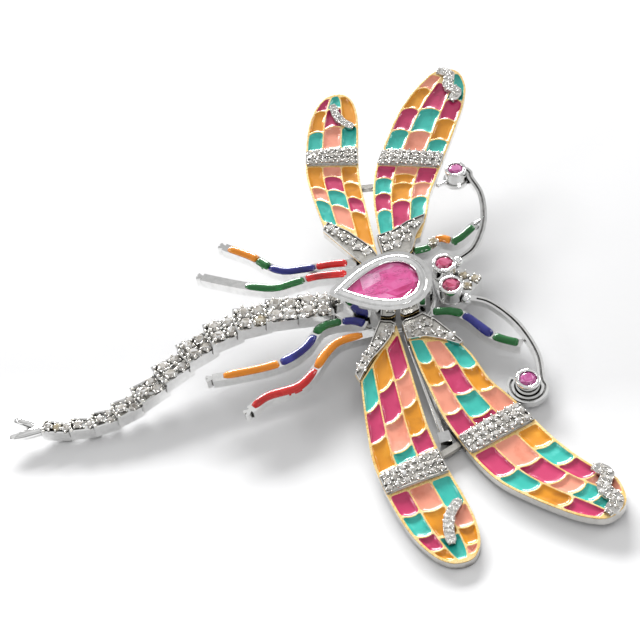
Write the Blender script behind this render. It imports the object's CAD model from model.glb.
import math
import random
from collections import namedtuple

import bmesh
import bpy
import numpy as np
from mathutils import Matrix, Vector


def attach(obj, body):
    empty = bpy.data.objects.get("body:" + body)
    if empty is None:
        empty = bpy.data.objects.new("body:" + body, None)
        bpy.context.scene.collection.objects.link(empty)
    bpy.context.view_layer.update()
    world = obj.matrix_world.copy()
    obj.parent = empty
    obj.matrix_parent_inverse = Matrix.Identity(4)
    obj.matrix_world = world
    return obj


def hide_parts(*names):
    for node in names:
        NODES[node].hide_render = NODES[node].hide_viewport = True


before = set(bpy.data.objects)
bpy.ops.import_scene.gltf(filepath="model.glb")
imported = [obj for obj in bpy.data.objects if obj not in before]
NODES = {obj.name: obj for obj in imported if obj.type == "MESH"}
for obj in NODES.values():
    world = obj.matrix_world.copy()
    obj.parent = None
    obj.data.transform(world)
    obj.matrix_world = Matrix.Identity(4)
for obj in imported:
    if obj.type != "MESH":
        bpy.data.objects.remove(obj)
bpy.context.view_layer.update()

MM = 0.001
TURN = 2 * math.pi
SIDES = {"left": 1, "right": -1}

# The brooch's own frame is in millimetres, with +X toward the head, +Y toward its left wings
# and the wing plane at z = 0. It lies on the floor turned by these angles and shifted by this much.
REST_ROLL, REST_PITCH = math.radians(7.31), math.radians(3.44)
REST_SHIFT = Vector((22.3, 0.05, 4.7))
REST_TURN = Matrix.Rotation(REST_PITCH, 4, "Y") @ Matrix.Rotation(REST_ROLL, 4, "X")
TO_ROW = Matrix.Scale(MM, 4) @ Matrix.Translation(REST_SHIFT) @ REST_TURN
FROM_ROW = TO_ROW.inverted()
ACROSS_BROOCH = Vector((0, 1, 0))


# Material nodes
def srgb(text):
    """A linear colour from six hex digits."""
    parts = [int(text[i:i + 2], 16) / 255 for i in (0, 2, 4)]
    return tuple(c / 12.92 if c <= 0.04045 else ((c + 0.055) / 1.055) ** 2.4 for c in parts) + (1.0,)


def fill_ramp(ramp, stops):
    """Gives a colour ramp its stops, each a place and a linear colour."""
    while len(ramp.elements) < len(stops):
        ramp.elements.new(0.5)
    for element, (place, colour) in zip(ramp.elements, stops):
        element.position = place
        element.color = colour


class Graph:
    """A material's node tree, with short calls that add nodes and links.

    In add, a keyword that starts with p_ sets a property of the node, one such as i3 sets
    the input of that number, and any other sets the input of that name.
    """

    def __init__(self, name):
        self.mat = bpy.data.materials.new(name)
        self.mat.use_nodes = True
        self.tree = self.mat.node_tree
        self.shader = self.tree.nodes["Principled BSDF"]
        self.coords = self.add("ShaderNodeTexCoord")

    def add(self, kind, **sockets):
        node = self.tree.nodes.new(kind)
        for key, value in sockets.items():
            if key.startswith("p_"):
                setattr(node, key[2:], value)
            else:
                self.set(node, key.replace("_", " "), value)
        return node

    def set(self, node, key, value):
        numbered = key[0] == "i" and key[1:].isdigit()
        socket = node.inputs[int(key[1:])] if numbered else node.inputs[key]
        if isinstance(value, bpy.types.NodeSocket):
            self.tree.links.new(value, socket)
        else:
            socket.default_value = value

    def noise(self, scale, detail, rough=0.55, stretch=None, distortion=0.0):
        vector = self.coords.outputs["Object"]
        if stretch:
            vector = self.add("ShaderNodeMapping", Vector=vector, Scale=stretch).outputs[0]
        return self.add("ShaderNodeTexNoise", Vector=vector, Scale=scale, Detail=detail,
                        Roughness=rough, Distortion=distortion).outputs["Fac"]

    def facets(self):
        """A level that is the same all over a facet and differs from facet to facet."""
        normal = self.add("ShaderNodeNewGeometry").outputs["True Normal"]
        return self.add("ShaderNodeTexWhiteNoise", p_noise_dimensions="3D", Vector=normal).outputs["Value"]

    def openness(self, reach):
        """Near 1 in the open and near 0 where neighbours within the reach shade the surface."""
        return self.add("ShaderNodeAmbientOcclusion", Distance=reach * MM, p_samples=8).outputs["AO"]

    def ramp(self, fac, *stops):
        node = self.add("ShaderNodeValToRGB", Fac=fac)
        fill_ramp(node.color_ramp, [(place, srgb(text)) for place, text in stops])
        return node.outputs["Color"]

    def spread(self, value, low, high, to_low=0.0, to_high=1.0):
        return self.add("ShaderNodeMapRange", i0=value, i1=low, i2=high, i3=to_low, i4=to_high).outputs[0]

    def vary(self, scale, detail, low, high):
        """Noise that mostly lies between two levels."""
        return self.spread(self.noise(scale, detail), 0.3, 0.7, low, high)

    def mix(self, fac, a, b, blend="MIX"):
        return self.add("ShaderNodeMix", p_data_type="RGBA", p_blend_type=blend,
                        i0=fac, i6=a, i7=b).outputs[2]

    def math(self, operation, a, b=0.0):
        return self.add("ShaderNodeMath", p_operation=operation, i0=a, i1=b).outputs[0]

    def total(self, *terms):
        """The sum of terms, each a value and its weight."""
        parts = [self.math("MULTIPLY", value, weight) for value, weight in terms]
        result = parts[0]
        for part in parts[1:]:
            result = self.math("ADD", result, part)
        return result

    def bump(self, height, depth):
        node = self.add("ShaderNodeBump", Height=height, Distance=depth * MM)
        self.tree.links.new(node.outputs[0], self.shader.inputs["Normal"])

    def surface(self, **values):
        for key, value in values.items():
            self.set(self.shader, key.replace("_", " "), value)
        return self.mat


# Materials; their reach and hammer are in millimetres, noise scales are per metre
def silver(name, light, dark, rough, wear=0.9, reach=0.6, hammer=0.008):
    """Silver that is bright where it is open and oxidised where neighbours shade it."""
    g = Graph(name)
    open_to = g.math("ADD", g.openness(reach), g.vary(900, 5, -0.1, 0.1))
    colour = g.mix(g.spread(open_to, 0.35, wear), srgb(dark), srgb(light))
    stain = g.spread(g.noise(1300, 3), 0.4, 0.7, 0.0, 0.12)
    colour = g.mix(stain, colour, srgb(dark), "MULTIPLY")
    roughness = g.math("ADD", g.vary(1800, 4, rough * 0.7, rough * 1.3),
                       g.spread(open_to, 0.35, wear, 0.22, 0.0))
    g.bump(g.total((g.noise(300, 2), 1.0), (g.noise(5200, 2), 0.05)), hammer)
    return g.surface(Base_Color=colour, Metallic=1.0, Roughness=roughness)


def gilt(name):
    """Pale gilt of the cell borders, deeper where it meets the enamel."""
    g = Graph(name)
    colour = g.ramp(g.noise(800, 4), (0.3, "F2C470"), (0.5, "F8D48C"), (0.72, "FCE4B0"))
    colour = g.mix(g.spread(g.openness(0.3), 0.2, 0.7), srgb("C07A2C"), colour)
    g.bump(g.noise(500, 2), 0.01)
    return g.surface(Base_Color=colour, Metallic=0.35, Roughness=g.vary(2400, 3, 0.22, 0.36),
                     Specular_IOR_Level=0.6)


def enamel(name, deep, middle, pale):
    """Poured enamel: even colour, deeper at the rim of a pool, under a clear glossy skin."""
    g = Graph(name)
    swirl = g.total((g.noise(260, 3, 0.5, distortion=0.7), 0.8), (g.noise(1900, 4, 0.6), 0.2))
    colour = g.ramp(swirl, (0.25, deep), (0.45, middle), (0.58, middle), (0.8, pale))
    colour = g.mix(g.spread(g.openness(0.5), 0.15, 0.65), srgb(deep), colour)
    g.bump(g.noise(520, 2), 0.02)
    return g.surface(Base_Color=colour, Roughness=0.4, Specular_IOR_Level=0.15, Coat_Weight=1.0,
                     Coat_Roughness=0.015, Coat_IOR=1.5)


def pear_gem(name):
    """The large pink stone: pavilion facets seen through the table, cloudy patches and dark needles."""
    g = Graph(name)
    grid = g.add("ShaderNodeMapping", Vector=g.coords.outputs["Object"], Scale=(230, 420, 200),
                 Rotation=(0, 0, 0.5)).outputs[0]
    cells = g.add("ShaderNodeTexVoronoi", Vector=grid, Scale=1.0, p_feature="F1").outputs["Color"]
    pavilion = g.add("ShaderNodeSeparateColor", Color=cells).outputs[0]
    cloud = g.noise(330, 5, 0.6, distortion=1.0)
    colour = g.ramp(g.total((pavilion, 0.38), (cloud, 0.6), (g.facets(), 0.22)),
                    (0.3, "7A0A3C"), (0.42, "C42070"), (0.56, "E64C9A"), (0.74, "F57CBC"), (0.92, "FFC0E2"))
    needles = g.noise(1500, 6, 0.7, stretch=(0.35, 1.6, 1.0), distortion=1.2)
    feather = g.spread(g.math("ABSOLUTE", g.math("SUBTRACT", needles, 0.5)), 0.0, 0.02, 1.0, 0.0)
    mark = g.math("MULTIPLY", feather, g.spread(g.noise(420, 2), 0.45, 0.55))
    return g.surface(Base_Color=g.mix(mark, colour, srgb("4A0822")), Roughness=0.02, IOR=1.63,
                     Transmission_Weight=0.2, Specular_IOR_Level=0.6, Coat_Weight=0.5, Coat_Roughness=0.01)


def gem(name, tint, deep, bright, ior, clear=0.3):
    """A small faceted stone: tinted clear body with deep and bright facets."""
    g = Graph(name)
    level = g.total((g.facets(), 0.65), (g.noise(900, 5, 0.6, distortion=0.8), 0.5))
    return g.surface(Base_Color=g.ramp(level, (0.2, deep), (0.52, tint), (0.9, bright)), Roughness=0.02,
                     IOR=ior, Transmission_Weight=clear, Specular_IOR_Level=0.7, Coat_Weight=0.6,
                     Coat_Roughness=0.01)


def enamels(prefix, tones):
    return {colour: enamel(f"{prefix}_{colour}", *hexes) for colour, hexes in tones.items()}


SILVER = silver("polished_silver", "FBFBFA", "4A4743", 0.07, wear=0.75)
DARK_SILVER = silver("oxidised_silver", "DAD7D0", "2A2622", 0.2, wear=0.95, reach=0.9, hammer=0.02)
TRAY_SILVER = silver("tray_silver", "F0EEEA", "3A2E24", 0.16, wear=0.85, reach=1.2, hammer=0.02)
BEAD_SILVER = silver("bead_silver", "FAF8F2", "3A3630", 0.12, wear=0.8, reach=0.4, hammer=0.01)
GILT = gilt("pale_gilt")
ENAMEL = enamels("enamel", {
    "turquoise": ("12887C", "2CB6A8", "6CDCD2"),
    "crimson": ("921540", "C22C62", "E2568A"),
    "peach": ("D87A5E", "EE9A80", "F8BCA6"),
    "mustard": ("BC7200", "DE9000", "EFAE2C"),
})
LEG_ENAMEL = enamels("leg_enamel", {
    "orange": ("B85C08", "E88A10", "F6B840"),
    "blue": ("0A0E3C", "181C78", "3C44B4"),
    "green": ("053C14", "0A6428", "2C9A4C"),
    "red": ("860A0E", "CC1A18", "EE4A3C"),
})
CORUNDUM_IOR, DIAMOND_IOR = 1.76, 2.0
PEAR_GEM = pear_gem("pink_tourmaline")
RUBY = gem("ruby", "C81E5C", "7A0A38", "FF86B2", CORUNDUM_IOR)
SAPPHIRE = gem("pink_sapphire", "D440A0", "8C1C70", "FFA8E0", CORUNDUM_IOR)
DIAMOND = gem("champagne_stone", "DAD3C8", "6E665A", "FFFFFF", DIAMOND_IOR)
WARM_DIAMOND = gem("warm_stone", "D2BF94", "6A5A38", "FFFAEC", DIAMOND_IOR, clear=0.4)


# Meshes
def piece(name, verts, faces, mat, slot, smooth=True, replaces=(), matrix=None, flat_top=False):
    """A mesh from points in the brooch's frame, riding on the one body.

    With flat_top, faces that are level in the matrix's own frame stay unsmoothed.
    """
    mesh = bpy.data.meshes.new(name)
    turn = TO_ROW if matrix is None else TO_ROW @ matrix
    mesh.from_pydata([turn @ Vector(v) for v in verts], [], faces)
    bm = bmesh.new()
    bm.from_mesh(mesh)
    bmesh.ops.recalc_face_normals(bm, faces=bm.faces)
    bm.to_mesh(mesh)
    bm.free()
    level = turn.to_3x3() @ Vector((0, 0, 1))
    level.normalize()
    for polygon in mesh.polygons:
        polygon.use_smooth = smooth and not (flat_top and abs(polygon.normal.dot(level)) > 0.995)
    mesh.materials.append(mat)
    obj = bpy.data.objects.new(name, mesh)
    bpy.context.scene.collection.objects.link(obj)
    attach(obj, "root")
    if replaces:
        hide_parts(*replaces)


def dress(node, mat):
    """Gives a node that stays as built its material."""
    NODES[node].data.materials.clear()
    NODES[node].data.materials.append(mat)


class Soup:
    """Collects many small shapes into one mesh."""

    def __init__(self):
        self.verts, self.faces = [], []

    def add(self, verts, faces, matrix=None):
        start = len(self.verts)
        self.verts += [matrix @ Vector(v) if matrix is not None else Vector(v) for v in verts]
        self.faces += [[start + i for i in f] for f in faces]

    def piece(self, name, mat, slot, **options):
        piece(name, self.verts, self.faces, mat, slot, **options)


def tube_faces(rings, sides, start=0):
    """Faces between closed rings of points that follow one another in a list."""
    return [[a + i, a + (i + 1) % sides, a + sides + (i + 1) % sides, a + sides + i]
            for a in range(start, start + (rings - 1) * sides, sides) for i in range(sides)]


def strip_faces(rows, width, closed=False):
    """Faces between open rows of points; closed joins the last row to the first."""
    return [[i * width + j, i * width + j + 1,
             (i + 1) % rows * width + j + 1, (i + 1) % rows * width + j]
            for i in range(rows if closed else rows - 1) for j in range(width - 1)]


def end_faces(rows, width):
    """Faces that close the first and the last of some rows of points."""
    return [list(range(width)), [(rows - 1) * width + j for j in range(width)]]


def ball(radius, rings, sides, squash=1.1):
    """A bead, pole up."""
    verts = [(0, 0, radius * squash)]
    for k in range(1, rings):
        a = math.pi * k / rings
        verts += [(radius * math.sin(a) * math.cos(TURN * i / sides),
                   radius * math.sin(a) * math.sin(TURN * i / sides),
                   radius * squash * math.cos(a)) for i in range(sides)]
    verts.append((0, 0, -radius * squash))
    faces = [[0, 1 + i, 1 + (i + 1) % sides] for i in range(sides)]
    faces += tube_faces(rings - 1, sides, 1)
    last, pole = 1 + (rings - 2) * sides, len(verts) - 1
    faces += [[last + i, pole, last + (i + 1) % sides] for i in range(sides)]
    return verts, faces


# Where the upper facets of a stone meet, and where and how deep its lower ones do
KNEE_SHARE, STAR_SHARE, STAR_DEPTH = 0.76, 0.3, 0.74


def cut_stone(outline, mains, table, crown=0.34, pavilion=0.84, girdle=0.05):
    """A brilliant cut over the outline, a function from a share of a turn to a girdle point.

    Crown, pavilion and girdle are heights in the outline's own unit.
    """
    def ring(count, shift, share, height):
        points = [outline((k + shift) / count) for k in range(count)]
        return [(x * share, y * share, height) for x, y in points]

    two = 2 * mains
    knee_height = crown * (1 - (KNEE_SHARE * math.cos(math.pi / mains) - table) / (1 - table))
    verts = ring(mains, 0, table, crown) + ring(mains, 0.5, KNEE_SHARE, knee_height)
    verts += ring(two, 0, 1.0, 0.0) + ring(two, 0, 1.0, -girdle)
    verts += ring(mains, 0.5, STAR_SHARE, -pavilion * STAR_DEPTH) + [(0, 0, -pavilion)]
    knees, rim, low, star, culet = mains, two, 2 * two, 3 * two, 7 * mains
    faces = [list(range(mains))]
    for k in range(mains):
        a, b, c = rim + 2 * k, rim + (2 * k + 1) % two, rim + (2 * k + 2) % two
        faces += [[k, knees + k, (k + 1) % mains], [k, knees + (k - 1) % mains, a, knees + k],
                  [knees + k, a, b], [knees + k, b, c]]
        d, e, f = low + 2 * k, low + (2 * k + 1) % two, low + (2 * k + 2) % two
        faces += [[a, d, e, b], [b, e, f, c], [star + k, e, d], [star + k, f, e],
                  [culet, star + (k - 1) % mains, d, star + k]]
    return verts, faces


def circle(turn):
    return math.cos(TURN * turn), math.sin(TURN * turn)


def ring_outline(x, y, radius):
    return lambda turn: (x + radius * math.cos(TURN * turn), y + radius * math.sin(TURN * turn))


def round_stone(d, table=0.56):
    verts, faces = cut_stone(circle, 8, table)
    return [(x * d / 2, y * d / 2, z * d / 2) for x, y, z in verts], faces


# A prong bead's place and least and greatest radius, in stone diameters, and its height over the girdle
PRONG_PLACE, PRONG_SIZES, PRONG_LIFT = 0.53, (0.13, 0.18), 0.02


def set_stone(stones, beads, rng, matrix, spot, d, prongs=4, tilt=6.0):
    """One pavé stone with bead prongs round it, tilted by up to some degrees."""
    x, y, z = spot
    place = matrix @ Matrix.Translation(Vector(spot)) @ Matrix.Rotation(rng.uniform(0, math.pi), 4, "Z") \
        @ Matrix.Rotation(math.radians(rng.uniform(-tilt, tilt)), 4, "X")
    stones.add(*round_stone(d), place)
    turn = rng.uniform(0, math.pi)
    for k in range(prongs):
        a = turn + TURN * k / prongs
        r = d * PRONG_PLACE
        bead = Vector((x + r * math.cos(a), y + r * math.sin(a), z + PRONG_LIFT))
        beads.add(*ball(d * rng.uniform(*PRONG_SIZES), 5, 8), matrix @ Matrix.Translation(bead))


# Curves through rows of numbers
def blend(a, b, c, d, f):
    """A smooth step from b to c that also minds the rows before and after them."""
    return 0.5 * (2 * b + (c - a) * f + (2 * a - 5 * b + 4 * c - d) * f * f
                  + (3 * b - a - 3 * c + d) * f ** 3)


def along(rows, t):
    """The curve's value at share t of its length in rows."""
    rows = np.asarray(rows, float)
    last = len(rows) - 1
    s = min(max(t, 0), 1) * last
    i = min(int(s), last - 1)
    return blend(rows[max(i - 1, 0)], rows[i], rows[i + 1], rows[min(i + 2, last)], s - i)


def across(rows, t):
    """The unit normal of a flat curve, to its left."""
    v = along(rows, min(t + 0.01, 1)) - along(rows, max(t - 0.01, 0))
    v = v / np.linalg.norm(v)
    return np.array([-v[1], v[0]])


def section(rows, t, width, profile):
    """A cross-section of a flat curve: profile gives places across, in widths, and heights."""
    p, n = along(rows, t), across(rows, t)
    return [(p[0] + n[0] * o * width, p[1] + n[1] * o * width, h) for o, h in profile]


# Closed outlines, each a list of flat points
def pairs(loop):
    """Each point with the next."""
    return zip(loop, loop[1:] + loop[:1])


def area(loop):
    return sum(a[0] * b[1] - b[0] * a[1] for a, b in pairs(loop)) / 2


def wound(loop, way=1):
    """The outline run anticlockwise, or clockwise where way is -1."""
    return loop if way * area(loop) > 0 else loop[::-1]


def inside(point, outline):
    x, y = point
    hit = False
    for (x0, y0), (x1, y1) in pairs(outline):
        if (y0 > y) != (y1 > y) and x < x0 + (x1 - x0) * (y - y0) / (y1 - y0):
            hit = not hit
    return hit


def even(loop, step):
    """The same outline with points at an even step."""
    pts = np.array(loop + loop[:1], float)
    length = np.concatenate([[0], np.cumsum(np.linalg.norm(np.diff(pts, axis=0), axis=1))])
    places = np.linspace(0, length[-1], max(8, int(length[-1] / step)), endpoint=False)
    return [(float(np.interp(s, length, pts[:, 0])), float(np.interp(s, length, pts[:, 1])))
            for s in places]


def grown(loop, by):
    """The outline moved outward by a distance."""
    side = 1 if area(loop) > 0 else -1
    moved = []
    for (x0, y0), (x, y), (x1, y1) in zip(loop[-1:] + loop[:-1], loop, loop[1:] + loop[:1]):
        dx, dy = x1 - x0, y1 - y0
        length = math.hypot(dx, dy) or 1
        moved.append((x + side * by * dy / length, y - side * by * dx / length))
    return moved


def filled_plate(loops, bevel, depth):
    """A plate with rounded edges over flat outlines, its foot at 0."""
    curve = bpy.data.curves.new("plate", "CURVE")
    curve.dimensions = "2D"
    curve.fill_mode = "BOTH"
    curve.bevel_depth = bevel
    curve.bevel_resolution = 2
    curve.extrude = depth
    curve.offset = -bevel
    for loop in loops:
        spline = curve.splines.new("POLY")
        spline.points.add(len(loop) - 1)
        for point, (x, y) in zip(spline.points, loop):
            point.co = (x, y, 0, 1)
        spline.use_cyclic_u = True
    obj = bpy.data.objects.new("plate", curve)
    bpy.context.scene.collection.objects.link(obj)
    bpy.context.view_layer.update()
    mesh = bpy.data.meshes.new_from_object(obj.evaluated_get(bpy.context.evaluated_depsgraph_get()))
    verts = [(v.co.x, v.co.y, v.co.z + depth + bevel) for v in mesh.vertices]
    faces = [list(p.vertices) for p in mesh.polygons]
    bpy.data.objects.remove(obj)
    bpy.data.curves.remove(curve)
    bpy.data.meshes.remove(mesh)
    return verts, faces


def flat_edges(node, matrix, height, tolerance=0.02):
    """Boundary edges of a node's faces that lie at one height of a wing's own plane."""
    mesh = NODES[node].data
    back = matrix.inverted() @ FROM_ROW
    points = [back @ v.co for v in mesh.vertices]
    keys = [(round(p.x, 3), round(p.y, 3)) if abs(p.z - height) < tolerance else None for p in points]
    edges = {}
    for polygon in mesh.polygons:
        corners = [keys[i] for i in polygon.vertices]
        if None in corners:
            continue
        for a, b in pairs(corners):
            if a == b:
                continue
            if (b, a) in edges:
                edges[b, a] -= 1
            else:
                edges[a, b] = edges.get((a, b), 0) + 1
    return [edge for edge, count in edges.items() if count > 0]


def flat_loops(node, matrix, height):
    """Outlines of a node's flat faces at one height of a wing's own plane, longest first."""
    follow = {}
    for a, b in flat_edges(node, matrix, height):
        follow.setdefault(a, []).append(b)
    loops = []
    while follow:
        start = next(iter(follow))
        loop, here = [start], start
        while follow.get(here):
            there = follow[here].pop()
            if not follow[here]:
                del follow[here]
            if there == start:
                break
            loop.append(there)
            here = there
        if len(loop) > 3:
            loops.append(loop)
    return sorted(loops, key=lambda lp: -sum(math.dist(a, b) for a, b in pairs(lp)))


# Wings. A row of a wing holds the x and y of its hind edge and then of its fore edge, from root to
# tip. Band is where its middle lies and half its length, in shares of the rows. Seat is the outline
# of the raised root that holds the root stones.
Wing = namedtuple("Wing", "rows bend band seat root_stones")
HIND_ROWS = [
    [-12.0, 13.6, -5.8, 5.9], [-12.4, 17.6, -5.6, 12.0], [-12.7, 21.6, -5.5, 17.4],
    [-12.8, 25.4, -5.3, 22.6], [-12.3, 29.3, -4.6, 27.7], [-11.4, 33.4, -3.6, 32.6],
    [-10.2, 37.0, -3.1, 36.4], [-8.4, 39.9, -3.4, 39.3], [-6.6, 41.2, -4.6, 41.1]]
FORE_BEND, HIND_BEND = 8.8, 5.6
FORE_BAND, HIND_BAND = (0.456, 0.046), (0.489, 0.044)
WINGS = {
    ("left", "fore"): Wing(
        [[-5.0, 7.6, 0.6, 8.7], [-4.7, 12.6, 2.3, 12.4], [-4.2, 17.9, 3.8, 16.6], [-3.2, 22.4, 5.3, 19.4],
         [-1.9, 25.7, 6.9, 22.4], [0, 29.0, 8.7, 25.4], [2.1, 32.5, 10.7, 28.8], [5.0, 36.2, 12.6, 32.2],
         [9.0, 39.6, 13.9, 35.8], [11.5, 40.5, 13.7, 39.2]],
        FORE_BEND, FORE_BAND,
        [[-5.1, 6.2], [-5.2, 10.3], [-2.7, 10.8], [-0.6, 11.9], [2.3, 12.7], [1.7, 11.2], [0.1, 8.9],
         [-1, 6.4], [-3, 4]],
        [[-4.2, 7.8], [-2.8, 8.1], [-4.2, 9.4], [-2.7, 9.7], [-1.3, 8.8], [-1.1, 10.4], [0.3, 11.1]]),
    ("right", "fore"): Wing(
        [[-4.9, 7.2, 0.3, 8.6], [-4.5, 13.0, 2.3, 12.6], [-3.9, 17.4, 3.5, 17.0], [-3.2, 21.8, 5.0, 19.8],
         [-2.0, 25.7, 6.3, 22.4], [-0.9, 29.0, 7.9, 26.8], [0.8, 32.4, 9.5, 30.2], [3.8, 35.8, 11.2, 33.0],
         [7.6, 39.2, 13.2, 35.6], [10.6, 40.7, 13.2, 39.2]],
        FORE_BEND, FORE_BAND,
        [[-5.1, 5.9], [-5, 8.7], [-2.6, 8.9], [-0.6, 9.9], [1.2, 11.2], [1.8, 10.8], [0.6, 8.7],
         [-0.8, 6.3], [-3, 4]],
        [[-4.4, 7.1], [-3.1, 6.8], [-3.5, 8.1], [-2.1, 8], [-1.8, 6.6], [-0.8, 8.7], [0.4, 9.6]]),
    ("left", "hind"): Wing(
        HIND_ROWS, HIND_BEND, HIND_BAND,
        [[-12.3, 13.4], [-11.4, 14.9], [-8.8, 12.2], [-7.6, 10.4], [-6.3, 8.4], [-5.6, 5.9], [-7.4, 4],
         [-8.4, 6.2], [-9.8, 8.8]],
        [[-11.3, 13.6], [-10.6, 12.6], [-9.7, 11.4], [-8.8, 10.2], [-8.1, 8.9], [-7.1, 7.8]]),
    ("right", "hind"): Wing(
        HIND_ROWS, HIND_BEND, HIND_BAND,
        [[-12.5, 12.4], [-12.1, 13.75], [-11.2, 12.3], [-9.9, 10.7], [-8.3, 9.3], [-7, 7.9],
         [-5.8, 5.9], [-7.4, 4], [-8.6, 6.1], [-9.8, 8.3]],
        [[-11.5, 11.7], [-10.7, 10.5], [-9.8, 9.4], [-8.8, 8.4], [-7.8, 7.4], [-6.8, 6.5]]),
}
# The row at which a wing bends down, and its parts: the share of the bend that each takes
BEND_ROW = 4
ROOT_PART, BAND_PART, TIP_PART = 0, 0.5, 1
# Heights over the wing plane of the tray's foot, the enamel solids and the root's raised seat
WING_FOOT, ENAMEL_TOP, SEAT_TOP = -1.0, -0.06, 0.5
# The least cell, in square millimetres, that counts as one
LEAST_CELL = 0.05
# Clearance between a cell's solid and its border, and what a border's rounded edge gives up
ENAMEL_GAP, BORDER_TRIM = 0.06, 0.035
BORDER_BEVEL, BORDER_DEPTH, BORDER_STEP = 0.055, 0.004, 0.12
# Distances in from the border at which an enamel pool has a ring of points
POOL_RINGS = [-0.035, 0.03, 0.08, 0.14, 0.21, 0.29, 0.38, 0.5, 0.68, 0.95, 1.5]
POOL_STEP = 0.15
# A pool's middle lies this far under the wing plane and leans by up to this slope
POOL_DIP, POOL_LEAN, LEAN_FROM = 0.18, 0.06, 0.4
# Its edge climbs by this much within about this distance, and no higher than the crest
POOL_CLIMB, POOL_REACH, POOL_CREST = (0.26, 0.32), (0.22, 0.3), 0.075
# The band's arch across and along the wing, the metal strip under its stones and their heights
ARCH_ACROSS, ARCH_ALONG = 0.5, 0.16
STRIP_CELLS, STRIP_MARGIN, STRIP_LIFT, STRIP_FOOT = (24, 6), 0.005, 0.12, -0.25
BAND_STONES = {"fore": (8, 0.98), "hind": (7, 0.9)}
BAND_LINES, BAND_MARGINS, BAND_STONE_LIFT, BAND_TILT = 3, (0.02, 0.04), 0.17, 14
# The plate that the root stones stand on, and the stones
BED_STEP, BED_BEVEL, BED_DEPTH, BED_LIFT = 0.2, 0.06, 0.05, 0.14
ROOT_STONE, ROOT_STONE_Z, ROOT_TILT = 1.3, 0.42, 10
# The raised swoosh near each tip: its route and width, its section, and the stones on it
SWOOSHES = {
    "fore": ([[10.5, 40], [12.1, 38.6], [11.3, 36.6], [12.3, 34.8], [11, 33.4]], 1.5),
    "hind": ([[-6.4, 38.8], [-6.3, 36.6], [-5.6, 34.8], [-4.2, 33.2]], 1.2),
}
SWOOSH_TOP = 0.5
SWOOSH_PROFILE = [(-0.5, -0.02), (-0.46, 0.3), (-0.25, 0.46), (0, SWOOSH_TOP), (0.25, 0.46), (0.46, 0.3),
                  (0.5, -0.02)]
SWOOSH_STEPS, SWOOSH_STONE_PLACE, SWOOSH_STONE_MOST = 20, 0.24, 0.8
# Its width over its length: the least, what a half wave adds, and where that wave starts and how far it runs
SWOOSH_LEAST, SWOOSH_SWELL, SWOOSH_WAVE = 0.35, 0.75, (0.12, 0.8)


def wing_matrix(side, pair, share):
    """Sets flat points of a wing's part in place: mirrored, and bent by a share of the wing's bend."""
    wing = WINGS[side, pair]
    x0, y0, x1, y1 = wing.rows[BEND_ROW]
    mirror = Matrix.Scale(SIDES[side], 4, ACROSS_BROOCH)
    hinge = Matrix.Translation(Vector((x0, y0, 0)))
    spin = Matrix.Rotation(math.atan2(y1 - y0, x1 - x0), 4, "Z")
    bend = Matrix.Rotation(math.radians(wing.bend * share), 4, "X")
    return mirror @ hinge @ spin @ bend @ spin.inverted() @ hinge.inverted()


def cell_loops(wing, colour, matrix):
    """Outlines of a wing's enamel cells of one colour that lie in the plane of one part."""
    return [lp for lp in flat_loops(f"{wing}_{colour}", matrix, ENAMEL_TOP) if abs(area(lp)) > LEAST_CELL]


def wing_borders(side, pair, part):
    """The raised gilt net of one part of a wing: its outline with the cells cut out."""
    wing, matrix = f"{side}_{pair}", wing_matrix(side, pair, part)
    outer = max(flat_loops(f"{wing}_wing", matrix, WING_FOOT), key=lambda lp: abs(area(lp)))
    cells = [lp for colour in ENAMEL for lp in cell_loops(wing, colour, matrix)]
    loops = [even(wound(outer), BORDER_STEP)]
    loops += [grown(even(wound(lp, -1), BORDER_STEP), ENAMEL_GAP + BORDER_TRIM) for lp in cells]
    verts, faces = filled_plate(loops, BORDER_BEVEL, BORDER_DEPTH)
    piece(f"{wing}_borders_{part}", verts, faces, GILT, "gilt_silver", matrix=matrix, flat_top=True)


def pool(loop, rng):
    """An enamel pool over one cell: it climbs its borders and dips in the middle."""
    loop = even(grown(even(loop, 0.1), ENAMEL_GAP + BORDER_TRIM), POOL_STEP)
    cx, cy = np.mean([p[0] for p in loop]), np.mean([p[1] for p in loop])
    lean = rng.uniform(-POOL_LEAN, POOL_LEAN), rng.uniform(-POOL_LEAN, POOL_LEAN)
    climb, reach = rng.uniform(*POOL_CLIMB), rng.uniform(*POOL_REACH)
    verts, n = [], len(loop)
    for inward in POOL_RINGS:
        height = min(POOL_CREST, climb * math.exp(-inward / reach) - POOL_DIP)
        fade = min(1, max(0, inward / LEAN_FROM))
        for x, y in loop:
            r = math.hypot(x - cx, y - cy)
            share = math.exp(-inward / r)
            dx, dy = (x - cx) * share, (y - cy) * share
            verts.append((cx + dx, cy + dy, height + fade * (dx * lean[0] + dy * lean[1])))
    verts.append((cx, cy, -POOL_DIP))
    faces = tube_faces(len(POOL_RINGS), n)
    last = (len(POOL_RINGS) - 1) * n
    faces += [[last + i, last + (i + 1) % n, len(verts) - 1] for i in range(n)]
    return verts, faces


def wing_pools(side, pair, colour, rng):
    wing, soup = f"{side}_{pair}", Soup()
    for part in (ROOT_PART, TIP_PART):
        matrix = wing_matrix(side, pair, part)
        for loop in cell_loops(wing, colour, matrix):
            soup.add(*pool(loop, rng), matrix)
    soup.piece(f"{wing}_{colour}_pools", ENAMEL[colour], f"enamel_{colour}", replaces=[f"{wing}_{colour}"])


def band_surface(wing, u, s):
    """A point of the arched band: u from 0 to 1 across the wing, s from 0 to 1 along it."""
    x0, y0, x1, y1 = along(wing.rows, wing.band[0] + wing.band[1] * (2 * s - 1))
    arch = ARCH_ACROSS * (1 - (2 * u - 1) ** 4) + ARCH_ALONG * (1 - (2 * s - 1) ** 2)
    return x0 + (x1 - x0) * u, y0 + (y1 - y0) * u, arch


def within(share, margin):
    return margin + (1 - 2 * margin) * share


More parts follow.
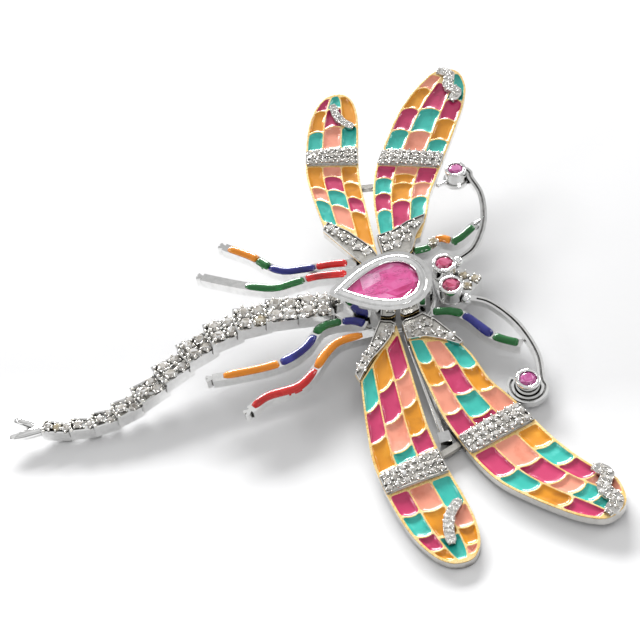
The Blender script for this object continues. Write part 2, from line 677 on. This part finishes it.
def band_strip(wing):
    """The arched strip of metal under the band's stones."""
    nu, ns = STRIP_CELLS
    row = ns + 1
    grid = [band_surface(wing, within(i / nu, STRIP_MARGIN), k / ns)
            for i in range(nu + 1) for k in range(row)]
    edge = [i * row for i in range(nu + 1)] + [nu * row + k for k in range(1, row)]
    edge += [i * row + ns for i in range(nu - 1, -1, -1)] + list(range(ns - 1, 0, -1))
    faces = strip_faces(nu + 1, row)
    faces += [[a, b, b + len(grid), a + len(grid)] for a, b in pairs(edge)]
    return [(x, y, z + STRIP_LIFT) for x, y, z in grid] + [(x, y, STRIP_FOOT) for x, y, _ in grid], faces


def root_bed(side, pair, matrix):
    """The plate that the root stones stand on, over the bed that is sunk in the root's seat."""
    rings = [lp for lp in flat_loops(f"{side}_{pair}_wing", matrix, SEAT_TOP)
             if all(inside(p, WINGS[side, pair].seat) for p in lp)]
    bed = min(rings, key=lambda lp: abs(area(lp)))
    verts, faces = filled_plate([even(wound(bed), BED_STEP)], BED_BEVEL, BED_DEPTH)
    return [(x, y, z + BED_LIFT) for x, y, z in verts], faces


def swoosh_width(width, t):
    """Broadest near the middle, narrower at both ends."""
    return width * (SWOOSH_LEAST + SWOOSH_SWELL * math.sin(math.pi * (SWOOSH_WAVE[0] + SWOOSH_WAVE[1] * t)))


def make_wing(side, pair):
    wing, name = WINGS[side, pair], f"{side}_{pair}"
    rng = random.Random(name)
    for part in (ROOT_PART, TIP_PART):
        wing_borders(side, pair, part)
    for colour in ENAMEL:
        wing_pools(side, pair, colour, rng)
    stones, beads, metal = Soup(), Soup(), Soup()

    on_band = wing_matrix(side, pair, BAND_PART)
    metal.add(*band_strip(wing), on_band)
    count, d = BAND_STONES[pair]
    for i in range(count):
        for k in range(BAND_LINES):
            x, y, z = band_surface(wing, within((i + 0.5) / count, BAND_MARGINS[0]),
                                   within((k + 0.5) / BAND_LINES, BAND_MARGINS[1]))
            set_stone(stones, beads, rng, on_band, (x, y, z + BAND_STONE_LIFT), d, tilt=BAND_TILT)

    on_root = wing_matrix(side, pair, ROOT_PART)
    metal.add(*root_bed(side, pair, on_root), on_root)
    for x, y in wing.root_stones:
        set_stone(stones, beads, rng, on_root, (x, y, ROOT_STONE_Z), ROOT_STONE, tilt=ROOT_TILT)

    on_tip = wing_matrix(side, pair, TIP_PART)
    route, width = SWOOSHES[pair]
    rows = []
    for k in range(SWOOSH_STEPS + 1):
        t = k / SWOOSH_STEPS
        rows += section(route, t, swoosh_width(width, t), SWOOSH_PROFILE)
    metal.add(rows, strip_faces(SWOOSH_STEPS + 1, len(SWOOSH_PROFILE)), on_tip)
    places = [(-SWOOSH_STONE_PLACE, SWOOSH_TOP), (SWOOSH_STONE_PLACE, SWOOSH_TOP)]
    for k in range(1, SWOOSH_STEPS, 2):
        w = swoosh_width(width, k / SWOOSH_STEPS)
        for spot in section(route, k / SWOOSH_STEPS, w, places):
            set_stone(stones, beads, rng, on_tip, spot, min(SWOOSH_STONE_MOST, w / 2), prongs=3,
                      tilt=BAND_TILT)

    stones.piece(f"{name}_stones", DIAMOND, "champagne_stone", smooth=False, replaces=[f"{name}_pave"])
    beads.piece(f"{name}_beads", BEAD_SILVER, "silver")
    metal.piece(f"{name}_seats", DARK_SILVER, "dark_silver")
    dress(f"{name}_wing", TRAY_SILVER)


for pair in ("fore", "hind"):
    for side in SIDES:
        make_wing(side, pair)

# Body and head
STONE_LENGTH, STONE_WIDTH, STONE_Z = 11.8, 8.4, 1.5
# The greatest value of the pear's formula, so that its width comes out as named
PEAR_WIDEST = 0.77
BODY_CENTRE = -0.7 - STONE_LENGTH / 2
BEZEL_WALL, BEZEL_TOP = 0.9, 2.2
# A polished lip runs on top of each bezel, and a half round moulding on the side of the body's
BODY_LIP_IN, BODY_LIP_OUT, BODY_LIP_HEIGHT = -0.3, BEZEL_WALL + 0.03, 0.28
MOULDING_IN, MOULDING_OUT = BEZEL_WALL - 0.1, BEZEL_WALL + 0.16
MOULDING_FOOT, MOULDING_TOP, MOULDING_UNDER = BEZEL_TOP - 1.0, BEZEL_TOP - 0.86, BEZEL_TOP - 1.2
SMALL_LIP_IN, SMALL_LIP_OUT = -0.12, 0.37
# How far a lip reaches down inside its bezel
LIP_ROOT = 0.3
BODY_STEPS, RING_STEPS = 144, 48
# Eyes and the bezels of the antennae: stone, its girdle's height, and the foot and top of the lip
EYE_STONE, EYE_Z, EYE_LIP = 2.5, 1.13, (1.28, 1.5)
ANTENNA_STONE, ANTENNA_Z, ANTENNA_LIP = 2.3, 1.23, (1.38, 1.58)
EYES = {"left": (2.4, 2), "right": (2.4, -2)}
ANTENNA_ENDS = {"left": (8.2, 19.2), "right": (7.7, -19.2)}
NOSE_SPOTS, NOSE_Z, NOSE_STONE = ((4.75, 0.95), (4.75, -0.95), (6.15, 0)), -0.66, 1.25


def pear_outline(turn):
    a = TURN * turn
    return -math.cos(a) * STONE_LENGTH / 2, math.sin(a) * abs(math.sin(a / 2)) * STONE_WIDTH / 2 / PEAR_WIDEST


def body_outline(turn):
    x, y = pear_outline(turn)
    return x + BODY_CENTRE, y


def rim(outline, profile, steps):
    """A closed band along an outline: profile gives how far out and how high each of its lines runs."""
    verts = []
    for i in range(steps):
        p, q = np.array(outline((i - 0.2) / steps % 1)), np.array(outline((i + 0.2) / steps % 1))
        forward = (q - p) / np.linalg.norm(q - p)
        x, y = outline(i / steps)
        verts += [(x + out * forward[1], y - out * forward[0], z) for out, z in profile]
    return verts, strip_faces(steps, len(profile), closed=True)


def half_round(inner, outer, foot, top):
    """Points of a half round, from its inner to its outer edge."""
    middle, half = (inner + outer) / 2, (outer - inner) / 2
    return [(middle - half * math.cos(a), foot + (top - foot) * math.sin(a))
            for a in (math.pi * k / 8 for k in range(9))]


def lip(inner, outer, foot, top):
    """Profile of a half round lip whose edges go down into a bezel."""
    return [(inner, foot - LIP_ROOT)] + half_round(inner, outer, foot, top) + [(outer, foot - LIP_ROOT)]


def polished_rims():
    rims = Soup()
    rims.add(*rim(body_outline, lip(BODY_LIP_IN, BODY_LIP_OUT, BEZEL_TOP, BEZEL_TOP + BODY_LIP_HEIGHT),
                  BODY_STEPS))
    moulding = half_round(MOULDING_IN, MOULDING_OUT, MOULDING_FOOT, MOULDING_TOP)
    rims.add(*rim(body_outline, [(MOULDING_IN, MOULDING_FOOT)] + moulding + [(MOULDING_IN, MOULDING_UNDER)],
                  BODY_STEPS))
    for side in SIDES:
        for spots, stone, heights in ((EYES, EYE_STONE, EYE_LIP), (ANTENNA_ENDS, ANTENNA_STONE, ANTENNA_LIP)):
            rims.add(*rim(ring_outline(*spots[side], stone / 2), lip(SMALL_LIP_IN, SMALL_LIP_OUT, *heights),
                          RING_STEPS))
    rims.piece("polished_rims", SILVER, "silver")


def spot_gem(name, x, y, z, d, mat, slot, node):
    verts, faces = round_stone(d, table=0.6)
    piece(name, [(x + a, y + b, z + c) for a, b, c in verts], faces, mat, slot, smooth=False, replaces=[node])


verts, faces = cut_stone(pear_outline, 12, 0.76, crown=0.55, pavilion=1.9)
piece("pear_gem", [(BODY_CENTRE + x, y, STONE_Z + z) for x, y, z in verts], faces, PEAR_GEM,
      "pink_tourmaline", smooth=False, replaces=["pear_stone"])
polished_rims()
for side in SIDES:
    spot_gem(f"{side}_eye_gem", *EYES[side], EYE_Z, EYE_STONE, RUBY, "ruby", f"{side}_eye_stone")
    spot_gem(f"{side}_antenna_gem", *ANTENNA_ENDS[side], ANTENNA_Z, ANTENNA_STONE, SAPPHIRE, "pink_sapphire",
             f"{side}_antenna_stone")
nose, nose_beads, rng = Soup(), Soup(), random.Random(5)
for x, y in NOSE_SPOTS:
    set_stone(nose, nose_beads, rng, Matrix.Identity(4), (x, y, NOSE_Z), NOSE_STONE)
nose.piece("nose_gems", WARM_DIAMOND, "champagne_stone", smooth=False, replaces=["nose_stones"])
nose_beads.piece("nose_beads", BEAD_SILVER, "silver")

# Small bars that join the left antenna to the leg and the wing beside it
BARS = [((8.6, 9.75, -0.62), (10.0, 10.4, -0.55), 0.26), ((6.9, 18.9, -0.5), (5.4, 18.5, -0.45), 0.34)]
# Where a bar's rings lie and their radii: below 0 and past 1 in radii beyond the ends, between in lengths
BAR_RINGS = [(-0.8, 0.35), (-0.55, 0.75), (0, 1.0), (0.25, 0.88), (0.5, 0.84), (0.75, 0.88), (1.0, 1.0),
             (1.55, 0.75), (1.8, 0.35)]


def rod(a, b, radius, sides=12):
    """A round bar with domed ends, slightly waisted, between two points."""
    a, b = Vector(a), Vector(b)
    span = b - a
    turn = span.to_track_quat("Z", "Y").to_matrix().to_4x4()
    verts = []
    for h, r in BAR_RINGS:
        z = h * radius if h < 0 else span.length + (h - 1) * radius if h > 1 else h * span.length
        verts += [(r * radius * math.cos(TURN * i / sides), r * radius * math.sin(TURN * i / sides), z)
                  for i in range(sides)]
    place = Matrix.Translation(a) @ turn
    faces = tube_faces(len(BAR_RINGS), sides) + end_faces(len(BAR_RINGS), sides)
    return [place @ Vector(v) for v in verts], faces


bars = Soup()
for bar in BARS:
    bars.add(*rod(*bar))
bars.piece("joining_bars", SILVER, "silver")

# Legs: the route of each, 1 for left or -1 for right, and its runs of enamel: colour and ends in shares
Leg = namedtuple("Leg", "route sign runs")
FRONT_LEFT = Leg([[-0.9, 6.6], [1.3, 6.8], [3.2, 8.1], [5.3, 7.3], [8.7, 9.7]], 1,
                 [("green", 0.04, 0.26), ("orange", 0.46, 0.66), ("green", 0.7, 0.94)])
FRONT_RIGHT = Leg([[-0.9, 4.6], [1.6, 5.1], [3.4, 6.5], [5.9, 10.3], [9, 12.3]], -1,
                  [("green", 0.04, 0.42), ("blue", 0.46, 0.72), ("green", 0.76, 0.94)])
LEGS = [
    FRONT_LEFT,
    FRONT_RIGHT,
    Leg([[-8.8, 6.7], [-12.5, 7.3], [-15.9, 7.4], [-18.8, 7.8], [-21, 9.5], [-22.8, 11.7], [-26.4, 14.7]], 1,
        [("red", 0.08, 0.24), ("blue", 0.27, 0.62), ("green", 0.65, 0.76), ("orange", 0.79, 0.95)]),
    Leg([[-8.8, 6], [-13.2, 6.3], [-15.5, 7.8], [-17.4, 10.2], [-19.8, 12.2], [-23.8, 12.7],
         [-26.2, 14.2]], -1,
        [("orange", 0.08, 0.46), ("red", 0.5, 0.94)]),
    Leg([[-9.6, 4.9], [-14.5, 5.6], [-17.6, 5.3], [-20.7, 5.1], [-24.9, 6.9], [-30, 9.8]], 1,
        [("red", 0.06, 0.28), ("green", 0.32, 0.76)]),
    Leg([[-9.5, 4.5], [-11.6, 3.3], [-15.3, 3.4], [-17.8, 6.1], [-20.6, 7.6], [-24, 8.1], [-30.4, 8]], -1,
        [("blue", 0.05, 0.2), ("green", 0.23, 0.38), ("blue", 0.42, 0.7), ("orange", 0.74, 0.94)]),
]
LEG_TOP, LEG_WIDTH, FRONT_SLOPE = -0.2, 1.3, math.radians(2.5)
# An enamel bead: how far it runs past its ends, its section, its steps and the width it leaves free
BEAD_LAP, BEAD_STEPS, BEAD_CLEARANCE = 0.012, 22, 0.02
# Steps over which its ends round off, and how deep and how often hand work waves its width
BEAD_ROUNDING, RIPPLE, RIPPLE_TURN = 4, 0.14, 9
BEAD_PROFILE = [(-0.5, -0.3), (-0.5, 0.04), (-0.44, 0.24), (-0.27, 0.42), (0, 0.48), (0.27, 0.42),
                (0.44, 0.24), (0.5, 0.04), (0.5, -0.3)]
# The small stone of the left front leg
LEG_STONE, LEG_STONE_PLACE, LEG_STONE_Z = 1.15, 0.36, 0.5


def leg_matrix(leg):
    x = leg.route[0][0]
    slope = FRONT_SLOPE if leg in (FRONT_LEFT, FRONT_RIGHT) else 0
    return Matrix.Scale(leg.sign, 4, ACROSS_BROOCH) @ Matrix.Translation(Vector((x, 0, LEG_TOP))) \
        @ Matrix.Rotation(slope, 4, "Y") @ Matrix.Translation(Vector((-x, 0, 0)))


def enamel_bead(route, t0, t1):
    """A thick rounded bead of enamel along a leg, from the groove's floor up."""
    verts = []
    for k in range(BEAD_STEPS + 1):
        f = k / BEAD_STEPS
        t = t0 + (t1 - t0) * f
        end = min(f, 1 - f) * BEAD_STEPS / BEAD_ROUNDING
        swell = math.sqrt(min(1, 1 - (1 - min(end, 1)) ** 2) + 0.04)
        ripple = 1 - RIPPLE * math.sin(RIPPLE_TURN * t) ** 2
        width = (LEG_WIDTH - BEAD_CLEARANCE) * min(1, 0.55 + 0.45 * swell) * ripple
        verts += section(route, t, width, [(o, h * swell if h > 0 else h) for o, h in BEAD_PROFILE])
    rows, m = BEAD_STEPS + 1, len(BEAD_PROFILE)
    return verts, strip_faces(rows, m) + end_faces(rows, m)


for colour, mat in LEG_ENAMEL.items():
    soup = Soup()
    for leg in LEGS:
        for key, t0, t1 in leg.runs:
            if key == colour:
                soup.add(*enamel_bead(leg.route, t0 - BEAD_LAP, t1 + BEAD_LAP), leg_matrix(leg))
    soup.piece(f"leg_{colour}_beads", mat, f"leg_enamel_{colour}", replaces=[f"leg_{colour}"])
leg_gem, leg_prongs = Soup(), Soup()
x, y = along(FRONT_LEFT.route, LEG_STONE_PLACE)
set_stone(leg_gem, leg_prongs, random.Random(3), leg_matrix(FRONT_LEFT), (x, y, LEG_STONE_Z), LEG_STONE,
          prongs=5)
leg_gem.piece("leg_gem", WARM_DIAMOND, "champagne_stone", smooth=False, replaces=["leg_stone"])
leg_prongs.piece("leg_prongs", BEAD_SILVER, "silver")

# Tail: the middle of each scale, its share of the tail's width, its count of stones and their diameter
Scale = namedtuple("Scale", "x y z share count stone")
TAIL = [
    Scale(-15.5, -0.1, 0.4, 1, 4, 1.7), Scale(-19.8, 0.5, 0.2, 0.99, 4, 1.7),
    Scale(-24.1, 0.6, -0.1, 0.97, 4, 1.65), Scale(-28.2, 0, -0.7, 0.95, 4, 1.6),
    Scale(-32, -1.5, -1.3, 0.92, 4, 1.55), Scale(-35.6, -3.5, -2, 0.88, 4, 1.45),
    Scale(-39, -5.6, -2.7, 0.8, 3, 1.35), Scale(-42.2, -7.2, -3.3, 0.7, 3, 1.15),
    Scale(-45.3, -8, -3.8, 0.62, 3, 1), Scale(-48.2, -8.1, -4.2, 0.52, 2, 1.2),
    Scale(-52, -7.4, -4.6, 0.46, 3, 1.15)]
TAIL_START, FORK_ROOT = [-11.4, -0.3, 0.5], [-54.6, -6.4, -4.9]
TAIL_WIDTH, SCALE_TILT = 4.3, math.radians(7)
# Places of a scale's stones, in shares of its half length and its width
TAIL_SPOTS = {2: [(-0.25, 0), (0.25, 0)], 3: [(-0.18, -0.24), (-0.18, 0.24), (0.25, 0)],
              4: [(-0.22, -0.235), (-0.22, 0.235), (0.23, -0.235), (0.23, 0.235)]}
LAST_SPOTS = [(-0.36, 0), (0, 0), (0.36, 0)]
# Stones of a warmer colour: the scale and the place on it
WARM_SPOTS = ((2, 1), (10, 1))
TAIL_STONE_SCALE, TAIL_SPOT_WIDTH, TAIL_STONE_FOOT, TAIL_STONE_SEAT = 1.02, 0.9, -0.38, 0.42
# Beads along the hind edge of a scale: radius, height, place along, bow and pitch across
EDGE_BEAD, EDGE_BEAD_Z, EDGE_PLACE, EDGE_BOW, EDGE_PITCH = 0.24, -0.02, 0.56, 0.02, 0.19
# Limbs of the fork, each through points that hold x, y, z and a radius
FORK = [
    [(-53.6, -7.0, -5.35, 0.5), (-55.0, -6.9, -5.4, 0.78), (-56.6, -7.0, -5.5, 0.68),
     (-58.35, -7.1, -5.45, 0.3)],
    [(-54.2, -6.2, -5.3, 0.4), (-55.4, -5.6, -5.2, 0.36), (-56.6, -5.0, -5.1, 0.52),
     (-57.6, -4.5, -5.1, 0.4)]]
# A limb's steps from point to point, the look ahead that gives its direction, and how blunt its ends are
LIMB_STEPS, LIMB_LOOK, LIMB_BLUNT = 6, 0.02, 0.3


def tail_stones(stones, warm, beads, rng):
    for i, scale in enumerate(TAIL):
        before = np.array(TAIL[i - 1][:3] if i else TAIL_START)
        after = np.array(TAIL[i + 1][:3] if i + 1 < len(TAIL) else FORK_ROOT)
        v = after - before
        length, width = np.linalg.norm(v) / 2, TAIL_WIDTH * scale.share
        place = Matrix.Translation(Vector(scale[:3])) @ Matrix.Rotation(math.atan2(v[1], v[0]), 4, "Z") \
            @ Matrix.Rotation(-SCALE_TILT, 4, "Y")
        spots = LAST_SPOTS if i == len(TAIL) - 1 else TAIL_SPOTS[scale.count]
        for k, (px, py) in enumerate(spots):
            spot = (px * length * TAIL_STONE_SCALE, py * width * TAIL_SPOT_WIDTH,
                    TAIL_STONE_FOOT + TAIL_STONE_SEAT * scale.stone)
            set_stone(warm if (i, k) in WARM_SPOTS else stones, beads, rng, place, spot,
                      scale.stone * TAIL_STONE_SCALE, prongs=5)
        for k in range(-2, 3):
            bead = Vector((length * (EDGE_PLACE - EDGE_BOW * k * k), k * width * EDGE_PITCH, EDGE_BEAD_Z))
            beads.add(*ball(EDGE_BEAD, 6, 10), place @ Matrix.Translation(bead))


def horn(points, sides=14):
    """A smooth round limb through points that each hold x, y, z and a radius, closed at both ends."""
    rows, verts = np.array(points, float), []
    steps = LIMB_STEPS * (len(points) - 1)
    for k in range(steps + 1):
        centre = along(rows, k / steps)
        v = (along(rows, min(1, k / steps + LIMB_LOOK)) - along(rows, max(0, k / steps - LIMB_LOOK)))[:3]
        turn = Vector(v).to_track_quat("Z", "Y").to_matrix()
        end = min(1, 3 * min(k, steps - k) / steps + LIMB_BLUNT)
        r = centre[3] * math.sqrt(1 - (1 - end) ** 2)
        verts += [Vector(centre[:3]) + turn @ Vector((r * math.cos(a), r * math.sin(a), 0))
                  for a in (TURN * i / sides for i in range(sides))]
    return verts, tube_faces(steps + 1, sides) + end_faces(steps + 1, sides)


stones, warm, beads, fork = Soup(), Soup(), Soup(), Soup()
tail_stones(stones, warm, beads, random.Random(11))
for limb in FORK:
    fork.add(*horn(limb))
fork.piece("tail_fork", SILVER, "silver")
stones.piece("tail_gems", DIAMOND, "champagne_stone", smooth=False, replaces=["tail_stones"])
warm.piece("tail_warm_gems", WARM_DIAMOND, "champagne_stone", smooth=False)
beads.piece("tail_beads", BEAD_SILVER, "silver")

# The metal that stays as built
for node in ("body_bezel", "head", "tail", "pin"):
    dress(node, SILVER)
for side in SIDES:
    for part in ("antenna", "front_leg", "middle_leg", "hind_leg"):
        dress(f"{side}_{part}", SILVER)
    dress(f"{side}_strut", DARK_SILVER)

# Stage: near-white paper that turns greyer beyond the jewel, between two lines across it, in metres
FLOOR_SIZE, FLOOR_TURN, FLOOR_NEAR, FLOOR_FAR = 1.6, math.radians(20), -0.024, -0.004
FLOOR_PALE, FLOOR_GREY = (0.84, 0.84, 0.845, 1), (0.64, 0.64, 0.645, 1)
# Levels of the studio by the sine of the height over the horizon: dark bands give the metal its edges
STUDIO = [(0.0, 0.9), (0.24, 0.85), (0.3, 0.22), (0.42, 0.26), (0.47, 0.95), (0.62, 1.0), (0.67, 0.74),
          (0.8, 0.7), (0.85, 1.0), (1.0, 1.05)]
STUDIO_STRENGTH = 0.7
# Softboxes, aimed at the brooch: place and size in metres, and power in watts
SOFTBOXES = {
    "low_box": ((-0.05, 0.92, 0.42), (0.8, 0.24), 19.0),
    "side_box": ((0.45, 0.12, 0.2), (0.24, 0.06), 0.4),
    "left_box": ((-0.45, 0.1, 0.22), (0.24, 0.06), 0.4),
    "front_strip": ((0.2, -0.42, 0.34), (0.22, 0.02), 0.15),
}


def paper():
    g = Graph("floor_paper")
    turned = g.add("ShaderNodeMapping", Vector=g.coords.outputs["Object"],
                   Rotation=(0, 0, FLOOR_TURN)).outputs[0]
    depth = g.add("ShaderNodeSeparateXYZ", Vector=turned).outputs["Y"]
    tone = g.math("ADD", g.spread(depth, FLOOR_NEAR, FLOOR_FAR), g.vary(30, 2, -0.02, 0.02))
    g.bump(g.noise(900, 2), 0.01)
    return g.surface(Base_Color=g.mix(tone, FLOOR_PALE, FLOOR_GREY), Roughness=0.6, Specular_IOR_Level=0.15)


def floor():
    s = FLOOR_SIZE
    mesh = bpy.data.meshes.new("floor")
    mesh.from_pydata([(-s, -s, 0), (s, -s, 0), (s, s, 0), (-s, s, 0)], [], [[0, 1, 2, 3]])
    mesh.materials.append(paper())
    obj = bpy.data.objects.new("floor", mesh)
    bpy.context.scene.collection.objects.link(obj)


def studio():
    world = bpy.data.worlds.new("studio")
    bpy.context.scene.world = world
    world.use_nodes = True
    tree = world.node_tree
    around = tree.nodes.new("ShaderNodeTexCoord")
    split = tree.nodes.new("ShaderNodeSeparateXYZ")
    tree.links.new(around.outputs["Generated"], split.inputs[0])
    ramp = tree.nodes.new("ShaderNodeValToRGB")
    tree.links.new(split.outputs["Z"], ramp.inputs["Fac"])
    fill_ramp(ramp.color_ramp, [(place, (level, level, level, 1)) for place, level in STUDIO])
    background = tree.nodes["Background"]
    tree.links.new(ramp.outputs["Color"], background.inputs["Color"])
    background.inputs["Strength"].default_value = STUDIO_STRENGTH


def softbox(name, place, size, power):
    light = bpy.data.lights.new(name, "AREA")
    light.shape = "RECTANGLE"
    light.size, light.size_y = size
    light.energy = power
    obj = bpy.data.objects.new(name, light)
    bpy.context.scene.collection.objects.link(obj)
    obj.location = place
    obj.rotation_euler = (-Vector(place)).to_track_quat("-Z", "Y").to_euler()


floor()
studio()
for name, values in SOFTBOXES.items():
    softbox(name, *values)

# Camera: where it stands as seen from the brooch, in the brooch's frame, and how it is rolled
AZIMUTH, ELEVATION, ROLL = math.radians(-1.11), math.radians(49.74), math.radians(-10.75)
# Its place to the right, up and back along its own axes, in millimetres, and its lens
EYE_RIGHT, EYE_UP, EYE_BACK = -14.656, -4.8, 146.256
LENS, SENSOR, CLIP_START = 61.875, 36, 0.005


def photograph():
    back = Vector((math.sin(AZIMUTH) * math.cos(ELEVATION), -math.cos(AZIMUTH) * math.cos(ELEVATION),
                   math.sin(ELEVATION)))
    right = (-back).cross(Vector((0, 0, 1))).normalized()
    up = right.cross(-back)
    right, up = math.cos(ROLL) * right + math.sin(ROLL) * up, -math.sin(ROLL) * right + math.cos(ROLL) * up
    eye = right * EYE_RIGHT + up * EYE_UP + back * EYE_BACK
    lens = bpy.data.cameras.new("camera")
    lens.sensor_width = SENSOR
    lens.lens = LENS
    lens.clip_start = CLIP_START
    camera = bpy.data.objects.new("camera", lens)
    bpy.context.scene.collection.objects.link(camera)
    turn = REST_TURN.to_3x3()
    axes = Matrix((turn @ right, turn @ up, turn @ back)).transposed().to_4x4()
    camera.matrix_world = Matrix.Translation(TO_ROW @ eye) @ axes
    return camera


bpy.context.scene.camera = photograph()
bpy.context.scene.view_settings.view_transform = "Standard"
